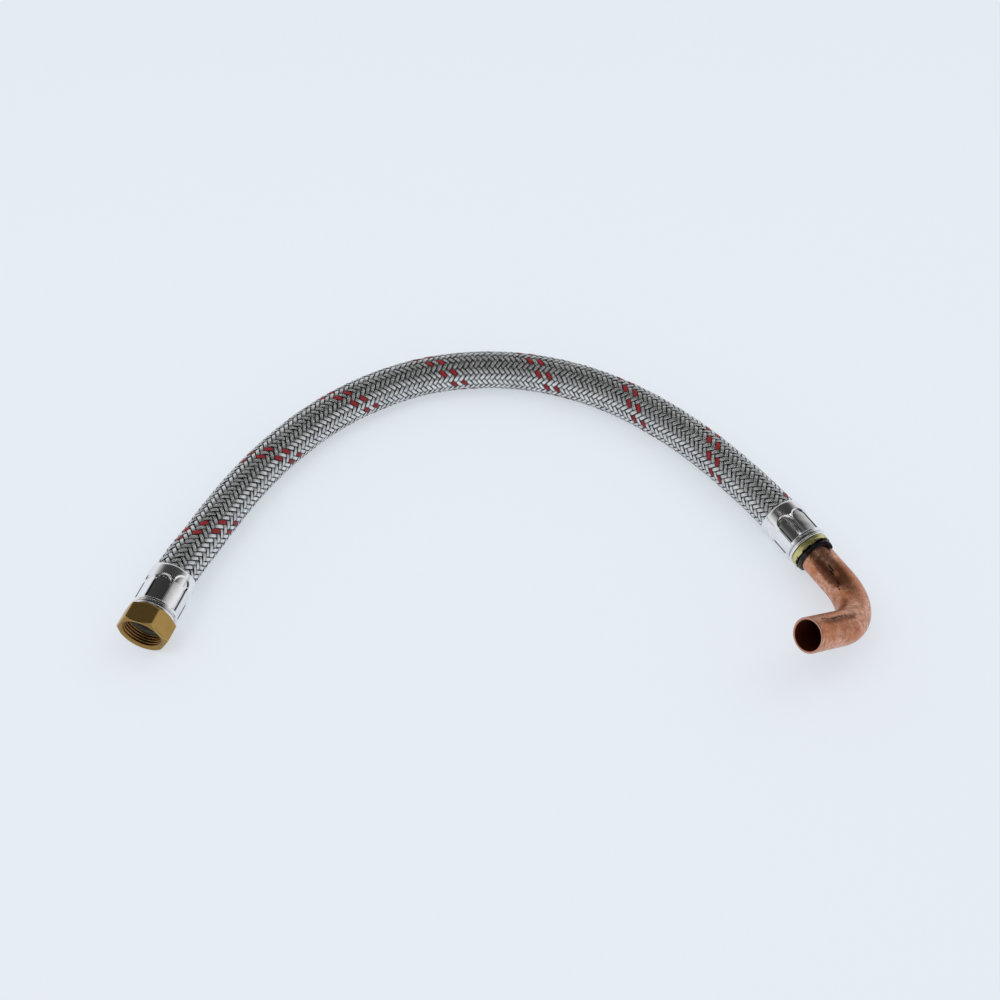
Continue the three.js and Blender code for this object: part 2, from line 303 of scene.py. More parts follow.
# The tube inside the braid, dark between the strands.
def makeTube(finish):
    along = np.arange(-hose["shown"], line.length + hose["shown"], hose["tubeStep"])
    turns = fullTurn(hose["tubeColumns"])
    s, t = np.meshgrid(along, turns, indexing="ij")
    outer = line.place(s, t, np.full_like(s, hose["tubeRadius"]))
    inner = line.place(s[::-1], t[::-1], np.full_like(s, hose["tubeRadius"] - hose["tubeWall"]))
    corners = np.concatenate([outer, inner]).reshape(-1, 3)
    faces = gridFaces(2 * len(along), len(turns), True, True)
    return makePiece("inner_tube", "hose", "inner_rubber", "rubber_hose", finish, corners, faces, {})


# Wire braid: flat strands of fine wires, each over two and under two of the others.
braid = {
    "perWay": 18,
    "lay": 72.5,
    "middle": 12.86,
    "rise": 0.34,
    "square": 1.9,       # how flat a strand runs between its dips
    "width": 2.78,
    "tracerWidth": 3.15,
    "thickness": 0.5,
    "step": 1.1,
    "start": 0.0,        # degrees from the top where strand 0 lies at startAt
    "startAt": -4.8,
    "tracers": (8, 10),
    "repeat": 4,         # over two and under two
    "widths": (0.97, 1.02),      # limits of each strand's own share of the width
    "lifts": (-0.03, 0.03),      # and of how far it stands off
    "wander": 0.5,       # degrees a strand strays to either side
    "wanderLength": (22, 48),
    "uneven": 0.18,      # how much its rise varies
    "unevenLength": (9, 17),
    "tilt": 0.1,         # how far its flat face leans, as a slope
    "tiltLength": (7, 11),
    "section": [
        (-1.0, -0.2), (-0.82, 0.55), (-0.36, 0.97), (0.36, 0.97),
        (0.82, 0.55), (1.0, -0.2), (0.85, -0.9), (-0.85, -0.9),
    ],
}


# A slow wave along the hose, its length drawn between two limits in millimetres.
def slowWave(along, shortest, longest):
    length, phase = random.uniform(shortest, longest), random.uniform(0, 2 * math.pi)
    return np.sin(2 * math.pi * along[:, None] / length + phase)


def makeStrands(name, hand, numbers, width, finish):
    b = braid
    slope = math.atan2(2 * math.pi * b["middle"], b["lay"])
    gap = 360 / b["perWay"]
    along = np.arange(-hose["shown"], line.length + hose["shown"], b["step"])
    section = np.array(b["section"])
    corners, faces, across, tone, high = [], [], [], [], []
    for n in numbers:
        wide = width * random.uniform(*b["widths"])
        lift = random.uniform(*b["lifts"])
        shade = random.random()
        stray = b["wander"] * slowWave(along, *b["wanderLength"])
        stand = 1 + b["uneven"] * slowWave(along, *b["unevenLength"])
        lean = b["tilt"] * slowWave(along, *b["tiltLength"])
        a = section[None, :, 0] * wide / 2
        s = along[:, None] - hand * a * math.sin(slope)
        centre = b["start"] + gap * n + hand * 360 * (along[:, None] - b["startAt"]) / b["lay"] + stray
        angle = centre + np.degrees(a * math.cos(slope) / b["middle"])
        crossed = (angle - b["start"] + hand * 360 * (s - b["startAt"]) / b["lay"]) / gap
        wave = np.cos(2 * math.pi * (n + crossed - 0.5) / b["repeat"])
        flat = np.tanh(b["square"] * wave) / math.tanh(b["square"])
        radius = b["middle"] + lift + hand * b["rise"] * flat * stand + a * lean
        radius = radius + section[None, :, 1] * b["thickness"] / 2
        first = sum(len(c) for c in corners)
        corners.append(line.place(s, np.radians(angle), radius).reshape(-1, 3))
        faces += gridFaces(len(along), len(section), False, True, first)
        faces.append(tuple(range(first, first + len(section)))[::-1])
        end = first + (len(along) - 1) * len(section)
        faces.append(tuple(range(end, end + len(section))))
        across.append(np.broadcast_to(section[None, :, 0], s.shape).ravel())
        tone.append(np.full(s.size, shade))
        high.append((hand * flat).ravel())
    marks = {
        "across": np.concatenate(across),
        "tone": np.concatenate(tone),
        "high": np.concatenate(high),
    }
    corners = np.concatenate(corners)
    return makePiece(name, "hose", "braid_wire", "wire_braid", finish, corners, faces, marks)


# Fittings are drawn about their own axis: distance out from a ferrule's mouth, radius and turn.
class Fitting:
    def __init__(self, mouth, out):
        self.mouth = np.array(mouth)
        self.out = out
        side = np.cross([0, 0, 1], out)
        self.side = side / np.linalg.norm(side)
        self.up = np.cross(out, self.side)

    def local(self, x, y, z):
        across = x[..., None] * self.side + y[..., None] * self.up
        return (self.mouth + across + z[..., None] * self.out) * mm

    def turned(self, out, radius, turn):
        return self.local(radius * np.cos(turn), radius * np.sin(turn), out)


nutEnd = Fitting(hose["route"][0], heading(hose["nutHeading"], hose["nutRise"]))
elbowEnd = Fitting(hose["route"][-1], heading(hose["elbowHeading"], hose["elbowRise"]))


# Distances along a fitting, from stretches of (start, end, step). The last stretch's end is left out.
def rowsBetween(*stops):
    rows = []
    for start, end, step in stops:
        count = max(1, round(abs(end - start) / step))
        rows.extend(start + (end - start) * k / count for k in range(count))
    return np.array(rows)


# A profile's (out, radius) points, each repeated round the fitting.
def profileRings(profile, columns):
    out, radius = np.array(profile, float).T
    return np.tile(out[:, None], columns), np.tile(radius[:, None], columns)


def smoothStep(value, low, high):
    t = np.clip((value - low) / (high - low), 0, 1)
    return t * t * (3 - 2 * t)


# The lesser of two values, with a soft corner where they cross.
def softLeast(a, b, width):
    near = np.clip(0.5 + 0.5 * (b - a) / width, 0, 1)
    return b + (a - b) * near - width * near * (1 - near)


# Crimped ferrules: a drawn sleeve with eight pressed flats between narrow ridges.
ferrule = {
    "length": 31.1,
    "boreRadius": 13.7,
    "squeezedRadius": 12.45,
    "lipRadius": 9.5,
    "lip": 2.0,
    "shoulderRadius": 15.1,
    "shoulderStart": 12.1,
    "shoulderFall": 2.0,
    "mouthRound": 1.0,
    "taper": 1.9,
    "ridgeRadius": 14.6,
    "flatRadius": 13.65,
    "flats": 8,
    "flatStart": 4.9,
    "flatEnd": 22.8,
    "longFlat": 26.9,    # the nut end's ferrule has one longer flat
    "longFlatTurn": 41.5,
    "thinnest": 14.05,   # no dent goes deeper where the hose isn't squeezed
    "rimRadius": 13.95,
    "rimLength": 2.3,
    "ringHalf": 1.2,     # the rolled ring at the outer end rises gently and falls round
    "ringProud": 0.14,
    "ringRise": 0.58,
    "ringRisePower": 1.1,
    "ringFall": 0.95,
    "ringFallPower": 3,
    "groove": 0.5,
    "edge": 0.28,
    "archSoft": 0.3,     # how much softer the arch of a flat is
    "crease": 0.46,      # width of the painted shade line at a ridge's foot
    # width of the painted shade line in the groove before the ring
    "grooveShade": 0.32,
    "crown": 0.45,       # how far a flat is from plane towards round
    "waves": 16,         # slight waves left by the crimping
    "waveHeight": 0.004,
    "perFlat": 46,       # columns over each flat
    "columnEase": 1.5,   # how much closer they lie at its ridges
    "mouthEnd": 2.4,     # rows lie close up to here
    "archLead": 0.8,     # and again from this far before the arches
    "longLead": 4.9,     # or from this far, with the longer flat
    "mouthRows": 0.22,   # spacing of the rows, from the mouth outwards
    "plainRows": 0.6,
    "archRows": 0.16,
    "flatRows": 0.7,
    "ringRows": 0.13,
}


def makeFerrule(name, fitting, degrees, longFlat, seed, finish, replaced):
    f = ferrule
    turn = math.radians(degrees)
    end = f["length"]
    crimped = end - f["flatEnd"]
    top = end - f["flatStart"]
    rim = end - f["rimLength"]
    archStart = crimped - (f["longLead"] if longFlat else f["archLead"])
    archEnd = f["shoulderStart"] + 0.5
    ringStart = top - 0.8
    rows = rowsBetween(
        (0, f["mouthEnd"], f["mouthRows"]),
        (f["mouthEnd"], archStart, f["plainRows"]),
        (archStart, archEnd, f["archRows"]),
        (archEnd, ringStart, f["flatRows"]),
        (ringStart, end + 1e-6, f["ringRows"]),
    )
    sector = 2 * math.pi / f["flats"]
    steps = np.linspace(-1, 1, f["perFlat"], endpoint=False)
    eased = np.sign(steps) * (1 - (1 - np.abs(steps)) ** f["columnEase"]) * sector / 2
    turns = np.concatenate([math.pi / 2 + turn + sector * n + eased for n in range(f["flats"])])
    w, t = np.meshgrid(rows, turns, indexing="ij")
    shoulder, ridge, lip = f["shoulderRadius"], f["ridgeRadius"], f["rimRadius"]
    fall = f["shoulderStart"] - f["shoulderFall"]
    outline = [
        (0, shoulder - f["mouthRound"]), (0.35, shoulder - 0.5), (1.0, shoulder - 0.15),
        (f["taper"], shoulder), (fall, shoulder), (f["shoulderStart"], ridge),
        (rim - 1.2, ridge), (rim - 0.7, lip - f["groove"]), (end, lip - f["groove"]),
    ]
    profile = np.interp(w, *zip(*outline))
    overRing = (w - rim - f["rimLength"] / 2) / f["ringHalf"]
    rising = f["ringRise"] * np.abs(overRing) ** f["ringRisePower"]
    falling = f["ringFall"] * np.abs(overRing) ** f["ringFallPower"]
    ring = lip + f["ringProud"] - np.where(overRing < 0, rising, falling)
    profile = np.where(w > rim - 0.05, ring, profile)
    off = (t - math.pi / 2 - turn + sector / 2) % sector - sector / 2
    x = profile * np.sin(off)
    half = math.sqrt(ridge ** 2 - f["flatRadius"] ** 2)
    isLong = longFlat & (np.abs(turnFrom(math.radians(f["longFlatTurn"]), t)) < sector / 2)
    arch = np.where(isLong, end - f["longFlat"], crimped) + half
    fromArch = half - np.hypot(x, np.minimum(w - arch, 0))
    depth = np.minimum(fromArch, top - w)
    edge = f["edge"] + f["archSoft"] * (1 - smoothStep(w, arch - 2.0, arch))
    pressed = smoothStep(depth, -edge, edge)
    floor = np.where(w < fall, f["thinnest"], 0)
    flat = np.maximum(f["flatRadius"] * (1 + (1 - f["crown"]) * (1 / np.cos(off) - 1)), floor)
    radius = profile + (np.minimum(flat, profile) - profile) * pressed
    rng = np.random.default_rng(seed)
    for _ in range(f["waves"]):
        k, m, phase = rng.integers(1, 9), rng.uniform(0.15, 0.9), rng.uniform(0, 6.3)
        radius += f["waveHeight"] * np.sin(k * t + m * w + phase)
    bore = [
        (end, f["lipRadius"] + 0.5), (end - 0.4, f["lipRadius"]), (end - f["lip"], f["lipRadius"]),
        (end - f["lip"], f["squeezedRadius"]), (crimped, f["squeezedRadius"]),
        (crimped - 3.3, f["boreRadius"]), (0.3, f["boreRadius"]), (0, f["boreRadius"] + 0.2),
    ]
    innerW, innerR = profileRings(bore, len(turns))
    allW = np.concatenate([w, innerW])
    allR = np.concatenate([radius, innerR])
    allT = np.broadcast_to(turns, allW.shape)
    corners = fitting.turned(allW, allR, allT).reshape(-1, 3)
    # Painted shade along each ridge's foot and in the groove before the ring.
    foot = np.exp(-((half - np.abs(x) - 0.1) / f["crease"]) ** 2)
    foot *= smoothStep(w, arch - 0.8, arch + 1.5) * smoothStep(top - w, 0.1, 0.5)
    foot = np.maximum(foot, np.exp(-((w - rim + 0.2) / f["grooveShade"]) ** 2))
    marks = {
        "out": allW,
        "depth": np.concatenate([depth, np.full_like(innerW, -1)]),
        "crease": np.concatenate([foot, np.zeros_like(innerW)]),
    }
    faces = gridFaces(len(allW), len(turns), True, True)
    return makePiece(name, "hose", "ferrule_steel", replaced, finish, corners, faces, marks)


# Union nut: a hexagon with turned chamfers and a cut thread.
nut = {
    "back": 31.4,
    "length": 14.4,
    "acrossFlats": 30,
    "frontRadius": 14.8,
    "frontChamfer": 2.1,
    "backRadius": 14.8,
    "backChamfer": 1.8,
    "seat": 33.6,
    "threadInner": 12.06,
    "threadDepth": 1.16,
    "pitch": 1.814,
    "threadFrom": 36.2,
    "countersink": 14.2,
    "countersinkDepth": 1.6,
    "holeRadius": 9.5,
    "soft": 0.18,        # how soft its edges are
    "round": 0.25,       # rounding where the chamfers meet the ends
    "columns": 240,
    "edgeZones": (2.2, 2.6),     # how far the close rows reach at the back and at the front
    "edgeRows": 0.12,    # spacing of the rows
    "flatRows": 0.9,
    "sinkRows": 0.16,
    "perPitch": 10,
}


def makeNut(finish):
    n = nut
    corner = n["acrossFlats"] / math.sqrt(3)
    front = n["back"] + n["length"]
    flatFrom, flatTo = n["back"] + n["edgeZones"][0], front - n["edgeZones"][1]
    rows = rowsBetween(
        (n["back"], flatFrom, n["edgeRows"]),
        (flatFrom, flatTo, n["flatRows"]),
        (flatTo, front + 1e-6, n["edgeRows"]),
    )
    turns = fullTurn(n["columns"])
    w, t = np.meshgrid(rows, turns, indexing="ij")
    off = t % (math.pi / 3) - math.pi / 6
    plane = n["acrossFlats"] / 2 / np.cos(off)
    hexagon = softLeast(plane, np.full_like(t, corner - n["soft"]), n["soft"])
    frontCone = n["frontRadius"] + (front - w) * (corner - n["frontRadius"]) / n["frontChamfer"]
    backCone = n["backRadius"] + (w - n["back"]) * (corner - n["backRadius"]) / n["backChamfer"]
    radius = softLeast(softLeast(hexagon, frontCone, n["soft"]), backCone, n["soft"])
    radius -= n["round"] * (1 - smoothStep(np.minimum(w - n["back"], front - w), 0, n["round"]))
    depth = np.minimum(frontCone, backCone) - hexagon
    sink = front - n["countersinkDepth"]
    threadEnd = n["threadFrom"]
    innerRows = rowsBetween(
        (front, sink, n["sinkRows"]),
        (sink, threadEnd, n["pitch"] / n["perPitch"]),
        (threadEnd, n["seat"], 0.5),
    )
    iw, it = np.meshgrid(innerRows, turns, indexing="ij")
    wave = 0.5 - 0.5 * np.cos(2 * math.pi * ((front - iw) / n["pitch"] - it / (2 * math.pi)))
    cut = n["threadDepth"] * wave ** 0.8 * smoothStep(iw, threadEnd - 0.3, threadEnd + 1.2)
    mouth = n["threadInner"] + (n["countersink"] - n["threadInner"]) * (iw - sink) / n["countersinkDepth"]
    innerRadius = np.maximum(n["threadInner"] + cut, mouth)
    innerRadius[0] = n["countersink"] + 0.12
    tail = [
        (n["seat"], n["threadInner"]), (n["seat"], n["holeRadius"]),
        (n["back"] + 0.2, n["holeRadius"]), (n["back"], n["holeRadius"] + 0.3),
    ]
    tailW, tailR = profileRings(tail, len(turns))
    allW = np.concatenate([w, iw, tailW])
    allR = np.concatenate([radius, innerRadius, tailR])
    allT = np.broadcast_to(turns, allW.shape)
    marks = {
        "out": allW,
        "edge": np.concatenate([depth, np.full_like(iw, -3), np.full_like(tailW, -3)]),
        "inside": np.concatenate([np.zeros_like(w), np.where(iw < sink, 1, 0), np.ones_like(tailW)]),
        "crest": np.concatenate([np.zeros_like(w), 1 - cut / n["threadDepth"], np.zeros_like(tailW)]),
    }
    corners = nutEnd.turned(allW, allR, allT).reshape(-1, 3)
    faces = gridFaces(len(allW), len(turns), True, True)
    return makePiece("threaded_nut", "nut", "nut_brass", "union_nut", finish, corners, faces, marks)


# Elbow end: a turned collar with a socket, and the bead of braze that closes it.
collar = {
    "back": 31.4,
    "length": 4.5,
    "radius": 13.5,
    "bevel": 0.5,
    "lineAt": 1.5,       # a fine turned line round the collar
    "socketRadius": 11.3,
    "socketFloor": 33.7,
    "boreRadius": 7.2,
    "ragged": 0.34,      # how uneven its front edge is
    "seed": 3,
    "columns": 144,
}


def makeCollar(finish):
    c = collar
    end = c["back"] + c["length"]
    back, radius, turned = c["back"], c["radius"], c["back"] + c["lineAt"]
    profile = [
        (back, c["boreRadius"]), (back, radius - c["bevel"]),
        (back + 0.15, radius - 0.15), (back + c["bevel"], radius),
        (turned, radius), (turned + 0.16, radius - 0.12), (turned + 0.32, radius),
        (end - c["bevel"], radius), (end - 0.15, radius - 0.15), (end, radius - c["bevel"]),
        (end, c["socketRadius"]), (c["socketFloor"], c["socketRadius"]),
        (c["socketFloor"], c["boreRadius"]),
    ]
    turns = fullTurn(c["columns"])
    w, r = profileRings(profile, len(turns))
    rng = np.random.default_rng(c["seed"])
    uneven = sum(
        rng.uniform(-1, 1) * np.sin(k * turns + rng.uniform(0, 6)) / math.sqrt(k) for k in range(2, 30)
    )
    w[7:10] += c["ragged"] * uneven / 2.5  # the three rings of the outer edge
    allT = np.broadcast_to(turns, w.shape)
    corners = elbowEnd.turned(w, r, allT).reshape(-1, 3)
    faces = gridFaces(len(profile), len(turns), True, True)
    where = ("hose", "insert_brass", "elbow_end_insert")
    return makePiece("socket_collar", *where, finish, corners, faces, {"out": w})


bead = {
    "back": 36.1,
    "length": 3.0,
    "radius": 13.0,
    "inner": 10.95,
    "lumps": 0.55,
    "lumpWaves": 30,
    "seed": 11,
    "dripTurn": 1.0,     # radians up from the arc's outer side
    "dripWidth": 0.2,
    "dripLength": 4.6,
    "columns": 192,
    "rows": 32,
}


def makeBead(finish):
    b = bead
    g, t = np.meshgrid(fullTurn(b["rows"]), fullTurn(b["columns"]), indexing="ij")
    rng = np.random.default_rng(b["seed"])
    lump = np.zeros_like(g)
    for _ in range(b["lumpWaves"]):
        k, m, phase = rng.integers(2, 19), rng.integers(0, 4), rng.uniform(0, 6.3)
        lump += rng.uniform(0.4, 1.0) * np.sin(k * t + m * g + phase) / math.sqrt(k)
    lump *= b["lumps"] / 3
    drip = np.exp(-(turnFrom(b["dripTurn"], t) / b["dripWidth"]) ** 2)
    middle = (b["radius"] + b["inner"]) / 2
    high = (b["radius"] - b["inner"]) / 2
    outer = np.clip(np.sin(g), 0, 1)
    front = (1 - np.cos(g)) / 2
    w = b["back"] + b["length"] / 2 - np.cos(g) * (b["length"] / 2 + lump * 0.6 * outer)
    w += b["dripLength"] * drip * front
    r = middle + np.sin(g) * high + lump * outer + 0.5 * drip * outer
    corners = elbowEnd.turned(w, r, t).reshape(-1, 3)
    faces = gridFaces(b["rows"], b["columns"], True, True)
    where = ("hose", "braze_scorched", "braze_bead")
    return makePiece("braze_ring", *where, finish, corners, faces, {"drip": drip})


# Copper tube: straight out of its socket, round one bend, straight to its open end.
copper = {
    "start": 34.0,
    "radius": 11.0,
    "wall": 1.5,
    "straight": 27.6,
    "bendRadius": 34.2,
    "bendAngle": 90,
    "roll": 24.5,
    "outlet": 31.2,
    "flatten": 0.35,     # how much the bend is out of round
    "edge": 0.35,        # how far the cut end's edges are eased
    "lean": (0.93, -0.45),   # how far the brown band leans from the top to the arc's inside, on each leg
    "spread": (24, 19),      # half width of the brown band on each leg, in degrees
    # how strong the brown band is, by the distance along the tube
    "bandStrength": [
        (0, 0.55), (8, 0.6), (18, 1), (36, 1), (52, 0.25), (68, 0.35), (80, 0.75), (104, 0.7), (112, 0.3),
    ],
    "columns": 144,
    "rows": 0.8,         # spacing of the rows, then at the cut end
    "endRows": 0.12,
    # burnt spots and scratches: along, turn in degrees, half length, half width in degrees, strength
    "spots": [
        (21, 316, 3.6, 5, 1.0), (24.5, 325, 3.0, 4, 1.0), (34.5, 330, 4.5, 4, 1.0), (40, 338, 4.5, 4, 1.0),
        (60, 218, 6.0, 4, 0.7), (80, 268, 5.0, 7, 0.6), (88, 280, 9.0, 6, 0.75), (97, 275, 8.0, 5, 0.7),
        (105, 283, 5.0, 5, 0.75),
    ],
}


def makeCopper(finish):
    c = copper
    roll = math.radians(c["roll"])
    turn = math.radians(c["bendAngle"])
    arc = c["bendRadius"] * turn
    total = c["straight"] + arc + c["outlet"]
    rows = rowsBetween((0, total - 0.5, c["rows"]), (total - 0.5, total + 1e-6, c["endRows"]))
    s, t = np.meshgrid(np.concatenate([rows, rows[::-1]]), fullTurn(c["columns"]), indexing="ij")
    inside = np.arange(len(s)) >= len(rows)
    radius = np.where(inside, c["radius"] - c["wall"], c["radius"])[:, None] * np.ones_like(s)
    nearEnd = np.clip(s - (total - c["edge"]), 0, 1)
    radius = radius + np.where(inside[:, None], nearEnd, -nearEnd) * 0.8
    bent = np.clip((s - c["straight"]) / c["bendRadius"], 0, turn)
    oval = c["flatten"] * np.sin(math.pi * bent / turn) ** 2
    x = (radius - oval) * np.cos(t)
    y = (radius + oval * 0.6) * np.sin(t)
    inward = np.array([-math.cos(roll), math.sin(roll), 0])
    out = np.array([0, 0, 1.0])
    across = np.cross(out, inward)
    tangent = np.cos(bent)[..., None] * out + np.sin(bent)[..., None] * inward
    normal = np.cos(bent)[..., None] * inward - np.sin(bent)[..., None] * out
    point = (c["start"] + np.minimum(s, c["straight"]))[..., None] * out
    point = point + (c["bendRadius"] * np.sin(bent))[..., None] * out
    point = point + (c["bendRadius"] * (1 - np.cos(bent)))[..., None] * inward
    point = point + np.maximum(s - c["straight"] - arc, 0)[..., None] * tangent
    point = point + x[..., None] * normal + y[..., None] * across
    corners = elbowEnd.local(point[..., 0], point[..., 1], point[..., 2]).reshape(-1, 3)
    outward = np.cos(t)[..., None] * normal + np.sin(t)[..., None] * across
    share = bent / turn
    lean = c["lean"][0] + (c["lean"][1] - c["lean"][0]) * share
    spread = c["spread"][0] + (c["spread"][1] - c["spread"][0]) * share
    upright = np.array([elbowEnd.side[2], elbowEnd.up[2], elbowEnd.out[2]])
    upward = outward @ upright - lean * outward[..., 0]
    away = np.degrees(np.arccos(np.clip(upward / np.hypot(1, lean), -1, 1)))
    brown = np.exp(-(away / spread) ** 2) * np.interp(s, *zip(*c["bandStrength"]))
    burnt = np.zeros_like(s)
    for at, turned, length, width, strength in c["spots"]:
        off = turnFrom(math.radians(turned), t)
        burnt += strength * np.exp(-((s - at) / length) ** 2 - (off / math.radians(width)) ** 2)
    marks = {
        "brown": brown,
        "burnt": burnt,
        "rim": smoothStep(s, total - c["edge"], total - 0.1),
        "inside": inside[:, None] * np.ones_like(s),
    }
    faces = gridFaces(len(s), c["columns"], True, True)
    where = ("hose", "copper_tube", "copper_elbow")
    return makePiece("copper_outlet", *where, finish, corners, faces, marks)


# Finishes.
wireLook = {
    "colour": (0.90, 0.912, 0.91),
    # painted shade colour for the strands' sides, dips and wire grooves, also used for random dark patches
    "shadow": (0.005, 0.005, 0.006),
    "metallic": 1.0,
    "roughness": 0.18,
    "wires": 8,          # fine wires across a strand
    "wireDepth": 0.00008,
}

tracerLook = {
    "colour": (0.34, 0.005, 0.01),
    # painted shade colour for the strands' sides, dips and wire grooves, also used for random dark patches
    "shadow": (0.03, 0.001, 0.002),
    "metallic": 0.0,
    "roughness": 0.4,
    "wires": 8,
    "wireDepth": 0.00008,
}


def braidFinish(name, look):
    k = newFinish(name)
    dark = look["shadow"]
    across = k.mark("across")
    phase = across * (math.pi * look["wires"] / 2)
    wave = k.node("ShaderNodeMath", {"operation": "SINE"}, {0: phase})
    wire = k.node("ShaderNodeMath", {"operation": "ABSOLUTE"}, {0: wave})
    # masks for painted shade at a strand's sides and where it dips under the others
    side = k.ramp(across * across, 0.42, 0.82)
    under = 1 - k.ramp(k.mark("high"), -0.4, 0.85)
    patch = k.noise(220, 3)
    worn = k.noise(45, 3)
    colour = k.blend(k.ramp(patch, 0.45, 0.85) * 0.2, look["colour"], dark)
    colour = k.blend(k.ramp(worn, 0.45, 0.75) * 0.12, colour, dark)
    # painted shade in the grooves between wires, then at the strands' sides and in their dips
    colour = k.blend((1 - wire) * 0.22, colour, dark)
    colour = k.blend(side * 0.97, colour, dark)
    colour = k.blend(under * 0.95, colour, dark)
    tone = 0.88 + k.mark("tone") * 0.12
    tones = k.node("ShaderNodeCombineXYZ", {}, {0: tone, 1: tone, 2: tone})
    colour = k.blend(1.0, colour, tones, "MULTIPLY")
    bump = k.bump(wire, look["wireDepth"])
    rough = look["roughness"] + patch * 0.15
    return k.surface(Base_Color=colour, Metallic=look["metallic"], Roughness=rough, Normal=bump)


rubberLook = {
    "black": (0.004, 0.004, 0.005),
    "worn": (0.014, 0.014, 0.015),
}


def rubberFinish():
    k = newFinish("black_rubber")
    grain = k.noise(620, 4)
    colour = k.blend(grain, rubberLook["black"], rubberLook["worn"])
    return k.surface(Base_Color=colour, Roughness=0.8 + grain * 0.15, Normal=k.bump(grain, 0.00007))


steelLook = {
    "bright": (0.88, 0.88, 0.89),
    "dull": (0.66, 0.66, 0.67),
    # near-white painted highlight along the edges of the flats
    "edge": (0.97, 0.97, 0.97),
    # near-black painted shade at the ridges' feet and in the groove
    "crease": (0.02, 0.02, 0.022),
    "roughness": 0.07,
    "shoulderFade": (8.0, 12.0),     # the shoulder is a little rougher, up to here
    "ringFade": (28.4, 28.8),        # and so is the ring, from here
}


def steelFinish():
    k = newFinish("crimped_steel")
    place = k.node("ShaderNodeTexCoord", out="Object")
    patch = k.noise(110, 4, 0.55, place)
    fine = k.noise(900, 3, 0.6, place)
    # Painted highlight along the flats' edges, where the depth is near zero.
    edge = 1 - k.ramp(k.node("ShaderNodeMath", {"operation": "ABSOLUTE"}, {0: k.mark("depth")}), 0.0, 0.3)
    colour = k.blend(k.ramp(patch, 0.45, 0.75) * 0.3, steelLook["bright"], steelLook["dull"])
    colour = k.blend(edge * 0.5, colour, steelLook["edge"])
    # Painted shade at the ridges' feet and in the groove before the ring.
    colour = k.blend(k.mark("crease") * 0.9, colour, steelLook["crease"])
    out = k.mark("out")
    ends = 1 - k.ramp(out, *steelLook["shoulderFade"]) + k.ramp(out, *steelLook["ringFade"])
    rough = steelLook["roughness"] + patch * 0.07 + fine * 0.03 + ends * 0.08
    return k.surface(Base_Color=colour, Metallic=1.0, Roughness=rough,
                     Normal=k.bump(fine, 0.000004, k.bump(patch, 0.000016)))


nutLook = {
    "brass": (0.48, 0.305, 0.095),
    "tarnish": (0.32, 0.19, 0.055),
    # painted highlight along the edges where the chamfers meet the flats
    "bright": (0.86, 0.66, 0.34),
    # painted shade in the thread's grooves and painted highlight on its crests
    "groove": (0.24, 0.105, 0.03),
    "crest": (0.80, 0.50, 0.20),
    "face": (0.33, 0.20, 0.06),
    "faceFade": (44.0, 44.8),    # where the front face's tone starts
}


def nutFinish():
    k = newFinish("dull_brass")
    patch = k.noise(110, 4, 0.6)
    fine = k.noise(1100, 3, 0.6)
    pits = k.noise(420, 2, 0.5)
    # Painted highlight along the edges where the chamfers meet the flats.
    edge = 1 - k.ramp(k.node("ShaderNodeMath", {"operation": "ABSOLUTE"}, {0: k.mark("edge")}), 0.0, 0.35)
    colour = k.blend(k.ramp(patch, 0.4, 0.75) * 0.45, nutLook["brass"], nutLook["tarnish"])
    colour = k.blend(k.ramp(pits, 0.68, 0.74) * 0.6, colour, nutLook["tarnish"])
    colour = k.blend(k.ramp(k.mark("out"), *nutLook["faceFade"]) * 0.85, colour, nutLook["face"])
    colour = k.blend(edge * 0.55, colour, nutLook["bright"])
    # Inside the nut: painted shade in the thread's grooves, painted highlight on its crests.
    cut = k.blend(k.ramp(k.mark("crest"), 0.65, 1.0), nutLook["groove"], nutLook["crest"])
    colour = k.blend(k.mark("inside"), colour, cut)
    rough = 0.25 + patch * 0.16 + fine * 0.08
    return k.surface(Base_Color=colour, Metallic=1.0, Roughness=rough,
                     Normal=k.bump(fine, 0.00002, k.bump(patch, 0.00008)))


collarLook = {
    "brass": (0.66, 0.61, 0.27),
    "dull": (0.40, 0.36, 0.13),
    "burnt": (0.012, 0.009, 0.006),
    "burntFade": (35.0, 35.7),   # where the black edge starts
    "roughness": 0.24,
}

tailLook = {
    "brass": (0.6, 0.5, 0.3),
    "dull": (0.4, 0.32, 0.18),
    "roughness": 0.3,
}


def turnedBrassFinish(name, look):
    k = newFinish(name)
    patch = k.noise(260, 4, 0.6)
    fine = k.noise(1700, 2)
    colour = k.blend(k.ramp(patch, 0.4, 0.75), look["brass"], look["dull"])
    if "burnt" in look:  # a ragged dark edge beside the braze
        reach = k.mark("out") + (k.noise(330, 3, 0.7) - 0.5) * 5.0
        colour = k.blend(k.ramp(reach, *look["burntFade"]), colour, look["burnt"])
    return k.surface(Base_Color=colour, Metallic=1.0, Roughness=look["roughness"] + patch * 0.15,
                     Normal=k.bump(fine, 0.00004))


brazeLook = {
    "black": (0.003, 0.002, 0.003),
    "brown": (0.03, 0.014, 0.012),
    "drip": (0.055, 0.018, 0.032),
}


def brazeFinish():
    k = newFinish("scorched_braze")
    patch = k.noise(300, 4, 0.6)
    fine = k.noise(1100, 3)
    colour = k.blend(k.ramp(patch, 0.5, 0.75), brazeLook["black"], brazeLook["brown"])
    colour = k.blend(k.mark("drip") * k.ramp(patch, 0.35, 0.6), colour, brazeLook["drip"])
    return k.surface(Base_Color=colour, Metallic=0.0, Roughness=0.16 + fine * 0.2, Specular_IOR_Level=0.35,
                     Normal=k.bump(fine, 0.00006, k.bump(patch, 0.0005)))


